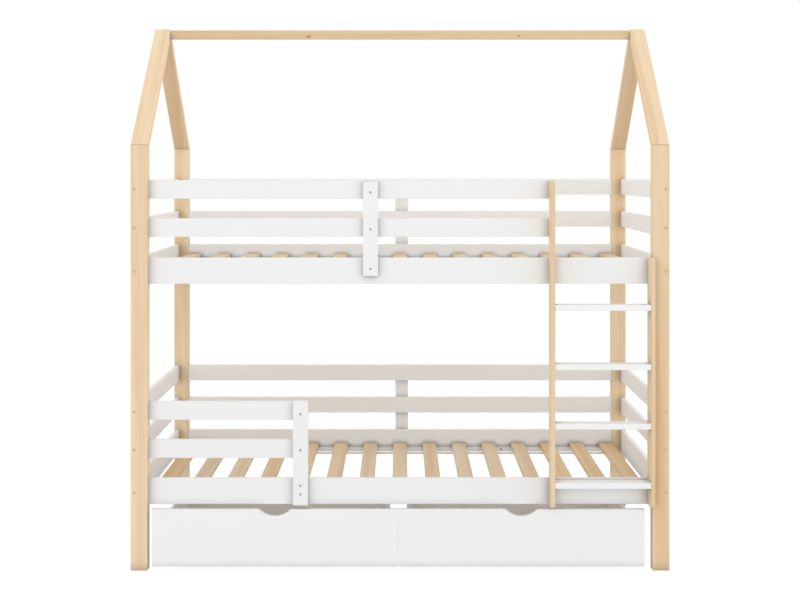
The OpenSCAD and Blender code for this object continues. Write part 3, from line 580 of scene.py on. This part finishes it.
@dataclass
class Studio:
    """Pale floor, soft light and the photograph's camera."""

    camera_place: tuple[float, float, float] = (0.0, -5.331, 1.523)
    lens: float = 57.3
    shift: float = -0.16
    sight: float = 200.0
    # Strength of the room's light from straight above and from low down
    overhead: float = 0.74
    horizon: float = 1.55
    key_place: tuple[float, float, float] = (0.0, -12.0, 3.3)
    key_aim: tuple[float, float, float] = (0.0, 0.0, 1.0)
    key_size: float = 3.0
    key_power: float = 15.0
    floor_size: float = 60.0
    # Grey of the floor as it lights the bed, and its white and glow as the camera shows it
    floor_shade: float = 0.74
    floor_white: float = 1.75
    glow: float = 0.93

    def build(self) -> None:
        """Builds the camera, floor and lights."""
        self.add_camera()
        self.add_floor()
        self.light_room()
        self.add_key_light()
        bpy.context.scene.view_settings.view_transform = "Standard"
        log.info("built the studio")

    def add_camera(self) -> None:
        """Sets the level camera in front of the bed."""
        lens = bpy.data.cameras.new("camera")
        lens.lens = self.lens
        lens.shift_y = self.shift
        lens.clip_end = self.sight
        camera = bpy.data.objects.new("camera", lens)
        camera.location = self.camera_place
        camera.rotation_euler = (math.radians(90), 0.0, 0.0)
        bpy.context.scene.collection.objects.link(camera)
        bpy.context.scene.camera = camera

    def add_floor(self) -> None:
        """Lays a pale floor that shows white to the camera but keeps the bed's shadow."""
        shape = bmesh.new()
        bmesh.ops.create_grid(shape, x_segments=1, y_segments=1, size=self.floor_size / 2)
        mesh = bpy.data.meshes.new("floor")
        shape.to_mesh(mesh)
        shape.free()
        floor = bpy.data.objects.new("floor", mesh)
        bpy.context.scene.collection.objects.link(floor)
        material, tree = new_material("pale_floor")
        seen = self.seen_by_camera(tree)
        colour = add(tree, "ShaderNodeMix", {"data_type": "RGBA"}, {
            0: seen, 6: (*[self.floor_shade] * 3, 1.0), 7: (*[self.floor_white] * 3, 1.0)})
        paper = add(tree, "ShaderNodeBsdfDiffuse", {}, {"Color": colour.outputs[2]})
        white = add(tree, "ShaderNodeEmission")
        share = add(tree, "ShaderNodeMath", MULTIPLY, {0: seen, 1: self.glow})
        surface = add(tree, "ShaderNodeMixShader", {}, {
            0: share.outputs[0], 1: paper.outputs["BSDF"], 2: white.outputs["Emission"]})
        add(tree, "ShaderNodeOutputMaterial", {}, {"Surface": surface.outputs["Shader"]})
        mesh.materials.append(material)

    def seen_by_camera(self, tree: NodeTree) -> NodeSocket:
        """Tells rays that show the backdrop from rays that light the bed.

        Args:
            tree: Tree that takes the nodes.

        Returns:
            1 for what the camera, metal or glass shows, and 0 for light.
        """
        ray = add(tree, "ShaderNodeLightPath")
        shown = add(tree, "ShaderNodeMath", {"operation": "MAXIMUM"}, {
            0: ray.outputs["Is Camera Ray"], 1: ray.outputs["Is Glossy Ray"]})
        return add(tree, "ShaderNodeMath", {"operation": "MAXIMUM"}, {
            0: shown.outputs[0], 1: ray.outputs["Is Transmission Ray"]}).outputs[0]

    def light_room(self) -> None:
        """Lights the bed from a white room that is brightest low down, all round."""
        world = bpy.data.worlds.new("white_room")
        bpy.context.scene.world = world
        world.use_nodes = True
        tree = world.node_tree
        tree.nodes.clear()
        way = add(tree, "ShaderNodeTexCoord").outputs["Generated"]
        height = add(tree, "ShaderNodeSeparateXYZ", {}, {0: way}).outputs["Z"]
        lit = add(tree, "ShaderNodeMapRange", {}, {
            "Value": height, "To Min": self.horizon, "To Max": self.overhead})
        strength = add(tree, "ShaderNodeMix", {}, {
            0: self.seen_by_camera(tree), 2: lit.outputs["Result"], 3: 1.0})
        light = add(tree, "ShaderNodeBackground", {}, {
            "Color": (1.0, 1.0, 1.0, 1.0), "Strength": strength.outputs[0]})
        add(tree, "ShaderNodeOutputWorld", {}, {"Surface": light.outputs["Background"]})

    def add_key_light(self) -> None:
        """Hangs a square softbox far in front, which faces the bed's middle."""
        lamp = bpy.data.lights.new("key_light", "AREA")
        lamp.size = self.key_size
        lamp.energy = self.key_power
        softbox = bpy.data.objects.new("key_light", lamp)
        softbox.location = self.key_place
        aim = Vector(self.key_aim) - Vector(self.key_place)
        softbox.rotation_euler = aim.to_track_quat("-Z", "Y").to_euler()
        bpy.context.scene.collection.objects.link(softbox)


@dataclass
class HouseFrame:
    """Four posts with rafters on them and the ridge beam, in varnished pine."""

    # Each corner, with the tone of its post and of its rafter. The rear rafters' darker tones are
    # painted shade on their undersides, which face away from the light; the front right post's darker
    # tone is partly its own and partly painted shade from the ladder in front of it.
    corners: tuple[tuple[str, str, str], ...] = (
        ("front_left", "FFFFFF", "FFFFFF"), ("front_right", "FAF6F0", "FCFAF7"),
        ("rear_left", "FEFEFE", "F5F0EB"), ("rear_right", "FDFCFA", "F2EDE6"))

    def build(self) -> None:
        """Dresses posts, rafters and ridge beam."""
        for seed, (place, post_tone_and_shade, rafter_tone_and_shade) in enumerate(self.corners):
            slope = Grain.FRONT_SLOPE if place.startswith("front") else Grain.REAR_SLOPE
            post = VarnishedPine(f"post_{place}", Grain.ALONG_Z, 11 + seed, post_tone_and_shade)
            dress(f"post_{place}", post.material())
            rafter = VarnishedPine(f"rafter_{place}", slope, 31 + seed, rafter_tone_and_shade)
            dress(f"rafter_{place}", rafter.material())
        middle = sum(corner.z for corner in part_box("ridge_beam")) / 2
        ridge = VarnishedPine("ridge_beam", Grain.ALONG_X, 51, "EEEBE2", pin_knots=(
            (-0.384, middle - 0.008, 0.006), (0.500, middle - 0.004, 0.004)))
        dress("ridge_beam", ridge.material())


@dataclass
class Panels:
    """White rails, guards and uprights, the same round either bed."""

    lengthwise: tuple[str, ...] = ("front_rail", "front_guards", "rear_guards")
    beside_slats: tuple[str, ...] = ("rear_rail",)
    crosswise: tuple[str, ...] = ("end_rail_left", "end_rail_right", "end_guards")
    upright: tuple[str, ...] = ("front_upright", "rear_upright")

    def build(self) -> None:
        """Dresses every panel in lacquer whose grain follows it."""
        groups = {
            self.lengthwise: WhiteLacquer("lengthwise", Grain.ALONG_X, 71),
            self.beside_slats: WhiteLacquer("beside_slats", Grain.ALONG_X, 74, reach=0.018),
            self.crosswise: WhiteLacquer("crosswise", Grain.ALONG_Y, 75),
            self.upright: WhiteLacquer("upright", Grain.ALONG_Z, 76),
        }
        for panels, finish in groups.items():
            lacquer = finish.material()
            for panel in panels:
                dress(f"upper_{panel}", lacquer)
                dress(f"lower_{panel}", lacquer)


@dataclass
class SlattedBase:
    """Slats of one bed, with eased edges and their own grain."""

    bed: str
    seed: int
    # Pale wood is 0 and honey-coloured wood is 1, from left to right
    tints: tuple[float, ...]
    width: float = SLAT_WIDTH
    edge: float = 0.002

    def build(self, finish: Material) -> None:
        """Builds the slats.

        Args:
            finish: Pine that follows each slat's own grain.
        """
        node = f"{self.bed}_slats"
        low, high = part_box(node)
        step = (high.x - low.x - self.width) / (len(self.tints) - 1)
        size = Vector((self.width, high.y - low.y, high.z - low.z))
        draw = random.Random(self.seed)
        shape = bmesh.new()
        shape.verts.layers.float_vector.new(GRAIN)
        shape.verts.layers.float.new(TINT)
        for i, share in enumerate(self.tints):
            self.add_slat(shape, low + Vector((i * step, 0.0, 0.0)) + size / 2, size, draw, share)
        stand(f"{self.bed}_slat_boards", shape, finish, "frame", (node,))

    def add_slat(
        self, shape: BMesh, middle: Vector, size: Vector, draw: random.Random, share: float,
    ) -> None:
        """Adds a slat with its own grain, front to rear, and its own tint.

        Args:
            shape: Mesh that takes the slat.
            middle: Middle of the slat.
            size: Its width, length and height.
            draw: Source of its place in the log.
            share: How much of the tint it takes, 0 to 1.
        """
        earlier = set(shape.verts)
        made = bmesh.ops.create_cube(shape, size=1.0)["verts"]
        bmesh.ops.scale(shape, vec=size, verts=made)
        bmesh.ops.translate(shape, vec=middle, verts=made)
        edges = list({e for v in made for e in v.link_edges})
        bmesh.ops.bevel(shape, geom=edges, offset=self.edge, segments=3, affect="EDGES",
                        profile=0.5, material=-1)
        grain = shape.verts.layers.float_vector[GRAIN]
        tint = shape.verts.layers.float[TINT]
        start = Vector((draw.uniform(0, 9), draw.uniform(-0.03, 0.03), draw.uniform(-0.03, 0.03)))
        for vertex in shape.verts:
            if vertex not in earlier:
                offset = vertex.co - middle
                vertex[grain] = start + offset.yxz
                vertex[tint] = share


@dataclass
class WebbingStraps:
    """Woven straps tacked under the slats, two to a bed, slack between one slat and the next."""

    width: float = 0.042
    thickness: float = 0.0012
    slack: float = 0.0004
    slat_count: int = 15
    # Mesh steps from one slat to the next
    steps: int = 8

    def build(self) -> None:
        """Builds the four straps."""
        low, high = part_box("slat_straps")
        strap = self.strap(high.x - low.x)
        shape = bmesh.new()
        for bed in ("lower", "upper"):
            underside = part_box(f"{bed}_slats")[0].z
            for y in (low.y, high.y - self.width):
                add_copy(shape, strap, Matrix.Translation((low.x, y, underside)))
        bpy.data.meshes.remove(strap)
        stand("webbing", shape, WovenWebbing().material(), "frame", ("slat_straps",))

    def strap(self, length: float) -> Mesh:
        """Builds one strap, which dips between the slats.

        Args:
            length: Its length.

        Returns:
            The strap, with the left front corner of its top at the origin.
        """
        shape = bmesh.new()
        weave = shape.verts.layers.float_vector.new(WEAVE)
        count = self.steps * (self.slat_count - 1)
        bmesh.ops.create_grid(shape, x_segments=count, y_segments=2, size=0.5)
        bmesh.ops.translate(shape, vec=(0.5, 0.5, 0.0), verts=shape.verts)
        bmesh.ops.scale(shape, vec=(length, self.width, 1.0), verts=shape.verts)
        bmesh.ops.solidify(shape, geom=list(shape.faces), thickness=self.thickness)
        pitch = (length - SLAT_WIDTH) / (self.slat_count - 1)
        top = max(vertex.co.z for vertex in shape.verts)
        for vertex in shape.verts:
            across = (vertex.co.x % pitch - SLAT_WIDTH) / (pitch - SLAT_WIDTH)
            vertex[weave] = vertex.co
            vertex.co.z -= top
            if 0.0 < across < 1.0 and vertex.co.x < length - SLAT_WIDTH:
                vertex.co.z -= self.slack * math.sin(math.pi * across) ** 2
        bmesh.ops.recalc_face_normals(shape, faces=shape.faces)
        mesh = bpy.data.meshes.new("strap")
        shape.to_mesh(mesh)
        shape.free()
        return mesh


@dataclass
class CrossScrew:
    """Countersunk wood screw with a cross recess, head up at the origin."""

    shank: float
    length: float
    head: float
    head_height: float = 0.0025
    # Flat of the head, as a share of its radius, and the drop of the rim round it
    flat: float = 0.93
    rim: float = 0.0003
    # The cross: reach, half of an arm's width, depth, and how much of it is left at its floor
    recess: float = 0.0026
    arm: float = 0.0006
    depth: float = 0.0014
    taper: float = 0.6
    point: float = 0.004
    tip: float = 0.0002
    sides: int = 20

    def shape(self) -> BMesh:
        """Builds the screw.

        Returns:
            Its mesh, with the head's face at Z = 0 and the shank downwards.
        """
        shape = bmesh.new()
        reach = self.flat * self.head
        made = bmesh.ops.create_circle(shape, segments=self.sides, radius=reach)["verts"]
        ring = list({e for v in made for e in v.link_edges})
        cross = self.add_cross(shape)
        bmesh.ops.bridge_loops(shape, edges=ring + cross)
        # The recess narrows to its floor
        walls = bmesh.ops.extrude_edge_only(shape, edges=cross)["geom"]
        floor = [v for v in walls if isinstance(v, BMVert)]
        bmesh.ops.scale(shape, vec=(self.taper, self.taper, 1.0), verts=floor)
        bmesh.ops.translate(shape, vec=(0.0, 0.0, -self.depth), verts=floor)
        bmesh.ops.contextual_create(shape, geom=floor)
        # Rim, cone, shank and point
        for radius, drop in ((self.head, self.rim), (self.shank, self.head_height),
                             (self.shank, self.length - self.point), (self.tip, self.length)):
            made = bmesh.ops.extrude_edge_only(shape, edges=ring)["geom"]
            verts = [v for v in made if isinstance(v, BMVert)]
            bmesh.ops.scale(shape, vec=(radius / reach, radius / reach, 1.0), verts=verts)
            bmesh.ops.translate(shape, vec=(0.0, 0.0, -drop - verts[0].co.z), verts=verts)
            ring = [e for e in made if isinstance(e, BMEdge) and all(v in verts for v in e.verts)]
            reach = radius
        bmesh.ops.contextual_create(shape, geom=verts)
        bmesh.ops.recalc_face_normals(shape, faces=shape.faces)
        return shape

    def add_cross(self, shape: BMesh) -> list[BMEdge]:
        """Adds the outline of the cross recess.

        Args:
            shape: Mesh that takes it.

        Returns:
            Its edges in a closed loop.
        """
        quarter = [(self.arm, self.arm), (self.arm, self.recess), (-self.arm, self.recess)]
        corners = []
        for turn in range(4):
            for x, y in quarter:
                spot = Vector((x, y, 0.0))
                spot.rotate(Euler((0.0, 0.0, turn * math.pi / 2)))
                corners.append(shape.verts.new(spot))
        return [shape.edges.new((a, b)) for a, b in zip(corners, corners[1:] + corners[:1])]


@dataclass
class WoodScrews:
    """Every wood screw of the frame, each sunk flush in its bore."""

    shank: float = 0.0022
    head: float = 0.005
    seed: int = 5
    upright_length: float = 0.032
    stile_length: float = 0.048
    tread_length: float = 0.046
    ledger_length: float = 0.046
    slat_length: float = 0.027
    # Sizes of the boards that they hold, and how far the screws stand from the boards' ends
    guard_height: float = 0.071
    treads: int = 4
    tread_height: float = 0.022
    tread_inset: float = 0.013
    ledger_screws: int = 5
    ledger_depth: float = 0.034
    ledger_height: float = 0.015
    ledger_inset: float = 0.043
    slat_inset: float = 0.017
    # Heights of the two screws of a stile above the underside of a rail
    stile_rises: tuple[float, float] = (0.048, 0.066)

    def build(self, finish: Material) -> None:
        """Builds the screws of the uprights, then all the others.

        Args:
            finish: Zinc-plated steel.
        """
        uprights = bmesh.new()
        self.gather(uprights, self.upright_spots(), self.upright_length)
        stand("upright_screw_set", uprights, finish, "frame", ("upright_screws",))
        others = bmesh.new()
        self.gather(others, self.stile_spots(), self.stile_length)
        self.gather(others, self.tread_spots(), self.tread_length)
        self.gather(others, self.ledger_spots(), self.ledger_length)
        self.gather(others, self.slat_spots(), self.slat_length)
        stand("wood_screw_set", others, finish, "frame", ("wood_screws",))

    def gather(self, shape: BMesh, spots: list[tuple[Vector, Vector]], length: float) -> None:
        """Adds one kind of screw to a mesh, each turned its own way.

        Args:
            shape: Mesh that takes them.
            spots: Middle of each head, and the way that it faces.
            length: Length of the screw.
        """
        draw = random.Random(self.seed + len(spots))
        mesh = bpy.data.meshes.new("screw")
        screw = CrossScrew(self.shank, length, self.head).shape()
        screw.to_mesh(mesh)
        screw.free()
        for place, way in spots:
            turn = Matrix.Rotation(draw.uniform(0, math.pi), 4, "Z")
            aim = way.to_track_quat("Z", "Y").to_matrix().to_4x4()
            add_copy(shape, mesh, Matrix.Translation(place) @ aim @ turn)
        bpy.data.meshes.remove(mesh)

    def upright_spots(self) -> list[tuple[Vector, Vector]]:
        """Gives the heads on the four uprights."""
        # Heights above the underside of the rail, then of the first and of the second guard
        rear = ((0.050,), (0.0355,), (0.0355,))
        heights = {
            "upper_front": ((0.058,), (0.030,), (0.025,)),
            "lower_front": ((0.042, 0.075), (0.034,), (0.025,)),
            "upper_rear": rear, "lower_rear": rear,
        }
        spots = []
        for name, rows in heights.items():
            low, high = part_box(f"{name}_upright")
            front = name.endswith("front")
            way = Vector((0.0, -1.0 if front else 1.0, 0.0))
            for level, row in zip(self.levels(name), rows):
                for height in row:
                    y = low.y if front else high.y
                    spots.append((Vector(((low.x + high.x) / 2, y, level + height)), way))
        return spots

    def levels(self, side: str) -> tuple[float, float, float]:
        """Gives the undersides of a side's rail and two guards.

        Args:
            side: Bed and side, such as upper_front.

        Returns:
            The three heights.
        """
        low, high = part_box(f"{side}_guards")
        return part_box(f"{side}_rail")[0].z, low.z, high.z - self.guard_height

    def stile_spots(self) -> list[tuple[Vector, Vector]]:
        """Gives the heads inside the front boards, which hold the ladder."""
        spots = []
        way = Vector((0.0, 1.0, 0.0))
        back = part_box("upper_front_rail")[1].y
        rail, first, second = self.levels("upper_front")
        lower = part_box("lower_front_rail")[0].z
        rails = [z + rise for z in (lower, rail) for rise in self.stile_rises]
        guards = [z + self.guard_height / 2 for z in (first, second)]
        for side, heights in (("left", rails + guards), ("right", rails)):
            low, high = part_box(f"ladder_stile_{side}")
            spots += [(Vector(((low.x + high.x) / 2, back, z)), way) for z in heights]
        return spots

    def tread_spots(self) -> list[tuple[Vector, Vector]]:
        """Gives the heads in the stiles' outer faces, two to each tread's end."""
        low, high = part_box("ladder_treads")
        pitch = (high.z - low.z - self.tread_height) / (self.treads - 1)
        bottom = low.z + self.tread_height / 2
        spots = []
        for side, corner, way in (("left", 0, -1.0), ("right", 1, 1.0)):
            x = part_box(f"ladder_stile_{side}")[corner].x
            spots += [(Vector((x, y, bottom + i * pitch)), Vector((way, 0.0, 0.0)))
                      for i in range(self.treads)
                      for y in (low.y + self.tread_inset, high.y - self.tread_inset)]
        return spots

    def ledger_spots(self) -> list[tuple[Vector, Vector]]:
        """Gives the heads in the ledgers' inner faces."""
        low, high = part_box("slat_ledgers")
        start = low.x + self.ledger_inset
        step = (high.x - self.ledger_inset - start) / (self.ledger_screws - 1)
        faces = ((low.y + self.ledger_depth, Vector((0.0, 1.0, 0.0))),
                 (high.y - self.ledger_depth, Vector((0.0, -1.0, 0.0))))
        levels = (low.z + self.ledger_height / 2, high.z - self.ledger_height / 2)
        return [(Vector((start + i * step, y, z)), way)
                for z in levels for y, way in faces for i in range(self.ledger_screws)]

    def slat_spots(self) -> list[tuple[Vector, Vector]]:
        """Gives the heads on top of the first and last slats."""
        spots = []
        for bed in ("lower", "upper"):
            low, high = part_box(f"{bed}_slats")
            spots += [(Vector((x, y, high.z)), Vector((0.0, 0.0, 1.0)))
                      for x in (low.x + SLAT_WIDTH / 2, high.x - SLAT_WIDTH / 2)
                      for y in (low.y + self.slat_inset, high.y - self.slat_inset)]
        return spots


@dataclass
class PullFront:
    """Drawer front with eased edges and an arc cut into its top, in which the fingers pull."""

    side: str
    # The arc's width and depth, and the rounding where it meets the top
    chord: float = 0.122
    depth: float = 0.027
    shoulder: float = 0.005
    ease: float = 0.002
    # Edges that turn more than this are eased
    sharp: float = math.radians(60)
    steps: int = 28

    def build(self, finish: Material) -> None:
        """Builds the front.

        Args:
            finish: White lacquer.
        """
        node = f"{self.side}_drawer_front"
        low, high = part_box(node)
        middle = (low.x + high.x) / 2
        radius = (self.chord ** 2 / 4 + self.depth ** 2) / (2 * self.depth)
        centre = Vector((middle, low.y, high.z - self.depth + radius))
        half = math.asin(self.chord / 2 / radius)
        shape = bmesh.new()
        first = shape.verts.new((middle - self.chord / 2, low.y, high.z))
        bmesh.ops.spin(shape, geom=[first], cent=centre, axis=(0.0, -1.0, 0.0), angle=2 * half,
                       steps=self.steps)
        shape.verts.ensure_lookup_table()
        arc = list(shape.verts)
        corners = [shape.verts.new(spot) for spot in (
            (high.x, low.y, high.z), (high.x, low.y, low.z),
            (low.x, low.y, low.z), (low.x, low.y, high.z))]
        shape.faces.new(arc + corners)
        bmesh.ops.bevel(shape, geom=[arc[0], arc[-1]], offset=self.shoulder, segments=5,
                        affect="VERTICES", profile=0.5, material=-1)
        made = bmesh.ops.extrude_face_region(shape, geom=list(shape.faces))["geom"]
        bmesh.ops.translate(shape, vec=(0.0, high.y - low.y, 0.0),
                            verts=[v for v in made if isinstance(v, BMVert)])
        bmesh.ops.recalc_face_normals(shape, faces=shape.faces)
        edges = [e for e in shape.edges if e.calc_face_angle(0.0) > self.sharp]
        bmesh.ops.bevel(shape, geom=edges, offset=self.ease, segments=3, affect="EDGES",
                        profile=0.5, material=-1)
        stand(f"{self.side}_pull_front", shape, finish, f"{self.side}_drawer", (node,))


@dataclass
class CastorWheel:
    """Moulded wheel: crowned tread, thin web and a hub on the axle pin."""

    steps: int = 48
    # Half of the wheel's section, as places along the axle and radii, from the bore outwards
    section: tuple[tuple[float, float], ...] = (
        (0.0067, 0.00305), (0.0070, 0.0035), (0.0070, 0.0058), (0.0064, 0.0064), (0.0042, 0.0070),
        (0.0036, 0.0078), (0.0036, 0.0122), (0.0042, 0.0130), (0.0062, 0.0134), (0.0069, 0.0140),
        (0.0070, 0.0156), (0.0062, 0.0168), (0.0040, 0.0174), (0.0, 0.0175))

    def build(self, side: str, place: str, finish: Material) -> None:
        """Builds one wheel on its axle.

        Args:
            side: Its drawer.
            place: Its corner of the drawer.
            finish: Moulded nylon.
        """
        node = f"{side}_drawer_{place}_wheel"
        low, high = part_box(node)
        middle = (low + high) / 2
        half = [Vector((x, 0.0, r)) for x, r in self.section]
        profile = half + [Vector((-v.x, 0.0, v.z)) for v in half[-2::-1]]
        shape = bmesh.new()
        ring = [shape.verts.new(middle + spot) for spot in profile]
        loop = [shape.edges.new((a, b)) for a, b in zip(ring, ring[1:] + ring[:1])]
        bmesh.ops.spin(shape, geom=ring + loop, cent=middle, axis=(1.0, 0.0, 0.0),
                       angle=2 * math.pi, steps=self.steps, use_merge=True)
        bmesh.ops.remove_doubles(shape, verts=shape.verts, dist=1e-6)
        bmesh.ops.recalc_face_normals(shape, faces=shape.faces)
        stand(f"{side}_{place}_castor_wheel", shape, finish, node, (node,))


def main() -> None:
    """Builds the bed's pieces in order."""
    logging.basicConfig(level=logging.INFO, format="%(message)s")
    Studio().build()
    HouseFrame().build()
    Panels().build()
    own_pine = VarnishedPine("slats", Grain.OWN, 90, "F4F9FF", "FFF1DC", 0.009, knots=0.96).material()
    upper_tints = (0.3, 0.5, 0.2, 0.6, 0.4, 0.8, 0.3, 0.5, 0.7, 0.2, 0.6, 0.4, 0.9, 0.5, 0.7)
    lower_tints = (1.0, 0.0, 0.15, 0.85, 0.7, 0.65, 0.0, 0.3, 0.3, 0.0, 0.3, 0.25, 1.0, 0.8, 0.9)
    SlattedBase("upper", 101, upper_tints).build(own_pine)
    SlattedBase("lower", 102, lower_tints).build(own_pine)
    WebbingStraps().build()
    dress("slat_ledgers", WhiteLacquer("ledgers", Grain.ALONG_X, 61).material())
    for seed, side in enumerate(("left", "right")):
        stile = VarnishedPine(f"stile_{side}", Grain.ALONG_Z, 81 + seed, "FCFAF6")
        dress(f"ladder_stile_{side}", stile.material())
    flat_lacquer = WhiteLacquer("treads_and_drawers", Grain.ALONG_X, 72, "F4F4F4", "F3F3F3").material()
    # The drawers' insides take a lighter lacquer than the outside, painted light for the shade under the
    # bed, with no painted corner shade
    inner_lacquer_painted_light = WhiteLacquer("drawer_insides_painted_light", Grain.ALONG_X, 73, "FBFBFA", "F9F9F8", 0.0).material()
    dress("ladder_treads", flat_lacquer)
    zinc = ZincPlatedSteel().material()
    dress("frame_bolts", ZincPlatedSteel("yellow_zinc_plated_steel", "CFB793", "DFC8A6").material())
    dress("barrel_nuts", zinc)
    WoodScrews().build(zinc)
    dress("wooden_dowels", RawBeech().material())
    nylon = MouldedNylon().material()
    wheel = CastorWheel()
    for side in ("left", "right"):
        PullFront(side).build(flat_lacquer)
        for part in ("sides", "back", "bottom"):
            dress(f"{side}_drawer_{part}", inner_lacquer_painted_light)
        for part in ("castors", "fixings"):
            dress(f"{side}_drawer_{part}", zinc)
        for place in ("front_left", "front_right", "rear_left", "rear_right"):
            wheel.build(side, place, nylon)


if __name__ == "__main__":
    main()
